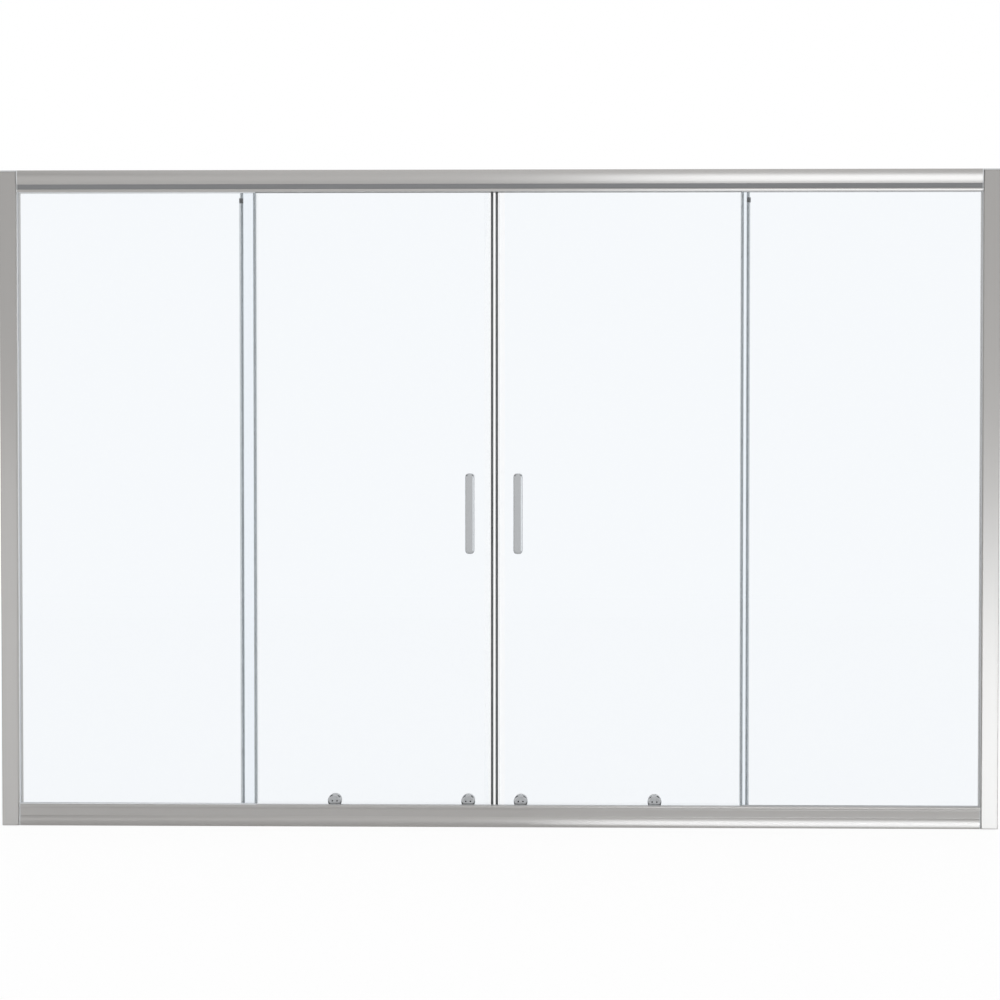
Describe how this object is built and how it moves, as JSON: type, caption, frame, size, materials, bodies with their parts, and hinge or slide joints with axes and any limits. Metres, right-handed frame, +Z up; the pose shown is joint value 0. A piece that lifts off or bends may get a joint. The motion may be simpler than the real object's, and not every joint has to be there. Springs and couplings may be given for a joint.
{
  "type": "sliding bath screen",
  "caption": "Aluminium-framed bath screen with fixed glass end panes and centre-parting sliding glass doors on grooved rollers, with bar handles and magnetic meeting seals.",
  "frame": {"origin": "middle of the bottom rail's underside, on the frame's reference plane between the fixed panes and the doors", "axes": "+X to the right seen from the room, +Y towards the bath, +Z up"},
  "size_m": [1.7, 0.0608, 1.12],
  "materials": {
    "satin_aluminium": "satin silver anodised extrusion",
    "grey_plastic": "smooth grey moulding",
    "stainless_steel": "plain stainless steel",
    "clear_glass": "clear toughened float glass with arrised edges",
    "grey_gasket": "soft grey glazing rubber",
    "white_nylon": "natural nylon",
    "clear_pvc": "clear soft extruded seal",
    "black_rubber": "black moulded rubber",
    "dark_trim": "dark grey extruded trim strip",
    "chrome": "polished chrome plate",
    "magnet_ferrite": "dark ferrite-filled strip",
    "white_acetal": "turned white acetal"
  },
  "bodies": {
    "frame": {"top_rail": "satin_aluminium", "bottom_rail": "satin_aluminium", "left_wall_channel": "satin_aluminium", "right_wall_channel": "satin_aluminium", "left_upright": "satin_aluminium", "right_upright": "satin_aluminium", "upright_top_caps": "grey_plastic", "rail_end_plates": "grey_plastic", "channel_screw_caps": "grey_plastic", "top_slot_cover": "grey_plastic", "bottom_slot_cover": "grey_plastic", "rail_screws": "stainless_steel", "channel_screws": "stainless_steel", "left_fixed_glass": "clear_glass", "right_fixed_glass": "clear_glass", "left_glazing_gasket": "grey_gasket", "right_glazing_gasket": "grey_gasket", "setting_blocks": "white_nylon", "left_fixed_edge_seal": "clear_pvc", "right_fixed_edge_seal": "clear_pvc", "door_stops": "black_rubber", "top_trim_strips": "dark_trim"},
    "left_door": {"left_door_glass": "clear_glass", "left_magnet_seal": "clear_pvc", "left_trailing_seal": "clear_pvc", "left_magnet_strip": "magnet_ferrite", "left_edge_buffer": "black_rubber", "left_handle_bar": "chrome", "left_handle_posts": "chrome", "left_roller_caps": "chrome", "left_handle_screws": "stainless_steel", "left_roller_axles": "stainless_steel", "left_wheel_retainers": "stainless_steel", "left_handle_washers": "white_nylon", "left_roller_bushes": "white_nylon"},
    "left_top_inner_wheel": {"left_top_inner_wheel": "white_acetal"},
    "left_top_outer_wheel": {"left_top_outer_wheel": "white_acetal"},
    "left_bottom_inner_wheel": {"left_bottom_inner_wheel": "white_acetal"},
    "left_bottom_outer_wheel": {"left_bottom_outer_wheel": "white_acetal"},
    "right_door": {"right_door_glass": "clear_glass", "right_magnet_seal": "clear_pvc", "right_trailing_seal": "clear_pvc", "right_magnet_strip": "magnet_ferrite", "right_edge_buffer": "black_rubber", "right_handle_bar": "chrome", "right_handle_posts": "chrome", "right_roller_caps": "chrome", "right_handle_screws": "stainless_steel", "right_roller_axles": "stainless_steel", "right_wheel_retainers": "stainless_steel", "right_handle_washers": "white_nylon", "right_roller_bushes": "white_nylon"},
    "right_top_inner_wheel": {"right_top_inner_wheel": "white_acetal"},
    "right_top_outer_wheel": {"right_top_outer_wheel": "white_acetal"},
    "right_bottom_inner_wheel": {"right_bottom_inner_wheel": "white_acetal"},
    "right_bottom_outer_wheel": {"right_bottom_outer_wheel": "white_acetal"}
  },
  "joints": [
    {"name": "left_door_slide", "type": "slide", "parent": "frame", "child": "left_door", "axis": [-1, 0, 0], "range_m": [0, 0.346]},
    {"name": "left_top_inner_wheel_spin", "type": "hinge", "parent": "left_door", "child": "left_top_inner_wheel", "pos_m": [-0.0515, 0.0135, 1.099], "axis": [0, -1, 0], "range_deg": [0, 2088]},
    {"name": "left_top_outer_wheel_spin", "type": "hinge", "parent": "left_door", "child": "left_top_outer_wheel", "pos_m": [-0.2805, 0.0135, 1.099], "axis": [0, -1, 0], "range_deg": [0, 2088]},
    {"name": "left_bottom_inner_wheel_spin", "type": "hinge", "parent": "left_door", "child": "left_bottom_inner_wheel", "pos_m": [-0.0515, 0.0135, 0.042], "axis": [0, -1, 0], "range_deg": [0, 2088]},
    {"name": "left_bottom_outer_wheel_spin", "type": "hinge", "parent": "left_door", "child": "left_bottom_outer_wheel", "pos_m": [-0.2805, 0.0135, 0.042], "axis": [0, -1, 0], "range_deg": [0, 2088]},
    {"name": "right_door_slide", "type": "slide", "parent": "frame", "child": "right_door", "axis": [1, 0, 0], "range_m": [0, 0.359]},
    {"name": "right_top_inner_wheel_spin", "type": "hinge", "parent": "right_door", "child": "right_top_inner_wheel", "pos_m": [0.0385, 0.0135, 1.099], "axis": [0, 1, 0], "range_deg": [0, 2167]},
    {"name": "right_top_outer_wheel_spin", "type": "hinge", "parent": "right_door", "child": "right_top_outer_wheel", "pos_m": [0.2675, 0.0135, 1.099], "axis": [0, 1, 0], "range_deg": [0, 2167]},
    {"name": "right_bottom_inner_wheel_spin", "type": "hinge", "parent": "right_door", "child": "right_bottom_inner_wheel", "pos_m": [0.0385, 0.0135, 0.042], "axis": [0, 1, 0], "range_deg": [0, 2167]},
    {"name": "right_bottom_outer_wheel_spin", "type": "hinge", "parent": "right_door", "child": "right_bottom_outer_wheel", "pos_m": [0.2675, 0.0135, 0.042], "axis": [0, 1, 0], "range_deg": [0, 2167]}
  ],
  "couplings": [
    {"joint": "left_top_inner_wheel_spin", "follows": "left_door_slide", "rad_per_m": 105.26},
    {"joint": "left_top_outer_wheel_spin", "follows": "left_door_slide", "rad_per_m": 105.26},
    {"joint": "left_bottom_inner_wheel_spin", "follows": "left_door_slide", "rad_per_m": 105.26},
    {"joint": "left_bottom_outer_wheel_spin", "follows": "left_door_slide", "rad_per_m": 105.26},
    {"joint": "right_top_inner_wheel_spin", "follows": "right_door_slide", "rad_per_m": 105.26},
    {"joint": "right_top_outer_wheel_spin", "follows": "right_door_slide", "rad_per_m": 105.26},
    {"joint": "right_bottom_inner_wheel_spin", "follows": "right_door_slide", "rad_per_m": 105.26},
    {"joint": "right_bottom_outer_wheel_spin", "follows": "right_door_slide", "rad_per_m": 105.26}
  ]
}
